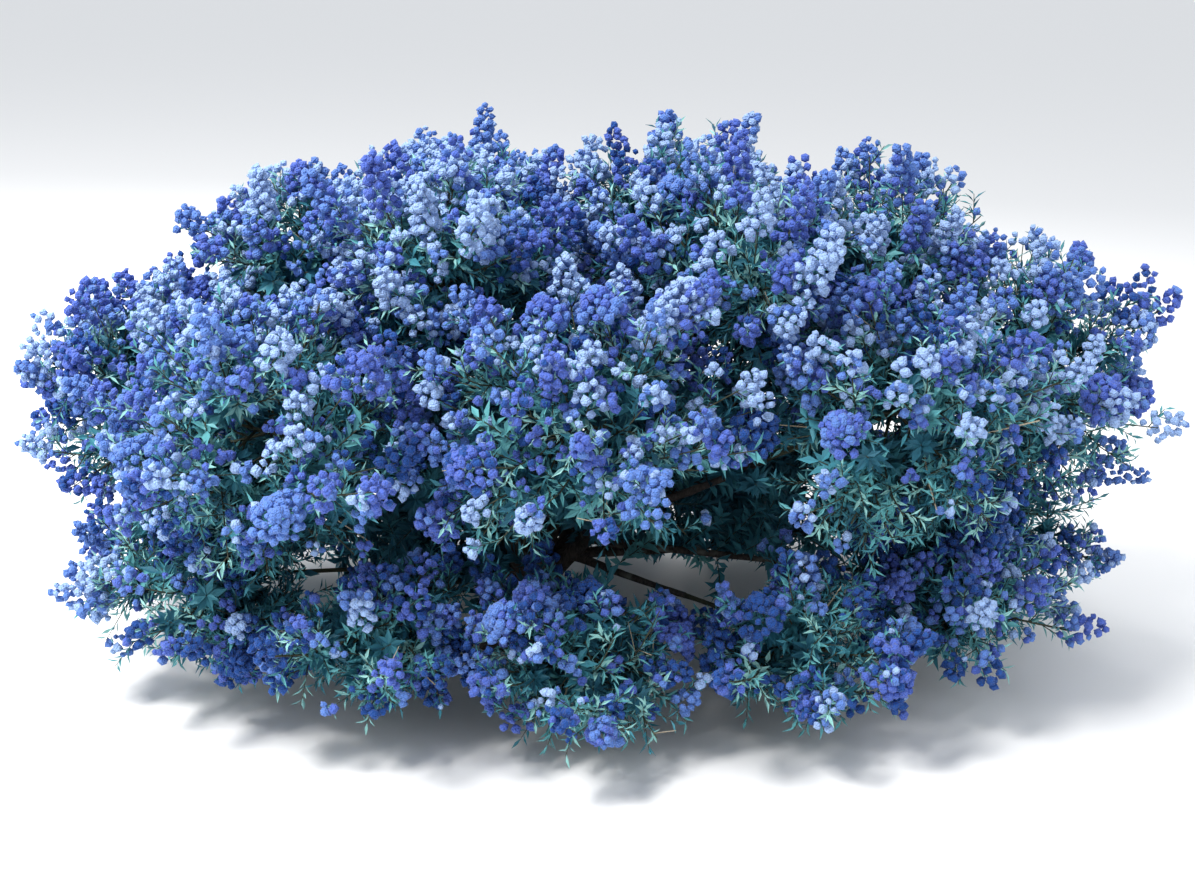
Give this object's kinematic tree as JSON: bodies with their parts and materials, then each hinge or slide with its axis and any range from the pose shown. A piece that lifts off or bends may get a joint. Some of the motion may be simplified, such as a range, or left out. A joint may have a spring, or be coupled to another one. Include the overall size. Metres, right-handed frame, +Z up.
{
  "type": "california lilac shrub",
  "caption": "Wide, low-branched evergreen shrub in full blue blossom, with a short trunk, spreading boughs and separate masses of leaf and flower.",
  "frame": {"origin": "middle of the trunk's flat cut at ground level", "axes": "+X along the crown's long way, to the right seen from the front; front towards -Y; +Z up"},
  "size_m": [3.0813, 2.349, 1.4162],
  "materials": {
    "bark": "rough grey-brown bark",
    "leaf": "dark green leaves with a soft gloss",
    "blossom": "matt blue blossom clusters"
  },
  "bodies": {
    "root": {"trunk": "bark", "shoulder_bough_1": "bark", "shoulder_bough_2": "bark", "shoulder_bough_3": "bark", "shoulder_bough_4": "bark", "shoulder_bough_5": "bark", "shoulder_bough_6": "bark", "top_bough_1": "bark", "top_bough_2": "bark", "girdle_bough_1": "bark", "girdle_bough_2": "bark", "girdle_bough_3": "bark", "girdle_bough_4": "bark", "girdle_bough_5": "bark", "girdle_bough_6": "bark", "girdle_bough_7": "bark", "girdle_bough_8": "bark", "skirt_bough_1": "bark", "skirt_bough_2": "bark", "skirt_bough_3": "bark", "skirt_bough_4": "bark", "skirt_bough_5": "bark", "skirt_bough_6": "bark", "skirt_bough_7": "bark", "skirt_bough_8": "bark", "skirt_bough_9": "bark", "skirt_bough_10": "bark", "skirt_bough_11": "bark", "skirt_bough_12": "bark", "skirt_foliage_1": "leaf", "skirt_foliage_2": "leaf", "skirt_foliage_3": "leaf", "skirt_foliage_4": "leaf", "skirt_foliage_5": "leaf", "skirt_foliage_6": "leaf", "skirt_foliage_7": "leaf", "skirt_foliage_8": "leaf", "skirt_foliage_9": "leaf", "skirt_foliage_10": "leaf", "skirt_foliage_11": "leaf", "skirt_foliage_12": "leaf", "girdle_foliage_1": "blossom", "girdle_foliage_2": "blossom", "girdle_foliage_3": "blossom", "girdle_foliage_4": "blossom", "girdle_foliage_5": "blossom", "girdle_foliage_6": "blossom", "girdle_foliage_7": "blossom", "girdle_foliage_8": "blossom", "shoulder_foliage_1": "blossom", "shoulder_foliage_2": "blossom", "shoulder_foliage_3": "blossom", "shoulder_foliage_4": "blossom", "shoulder_foliage_5": "blossom", "shoulder_foliage_6": "blossom", "top_foliage_1": "blossom", "top_foliage_2": "blossom"}
  },
  "joints": []
}
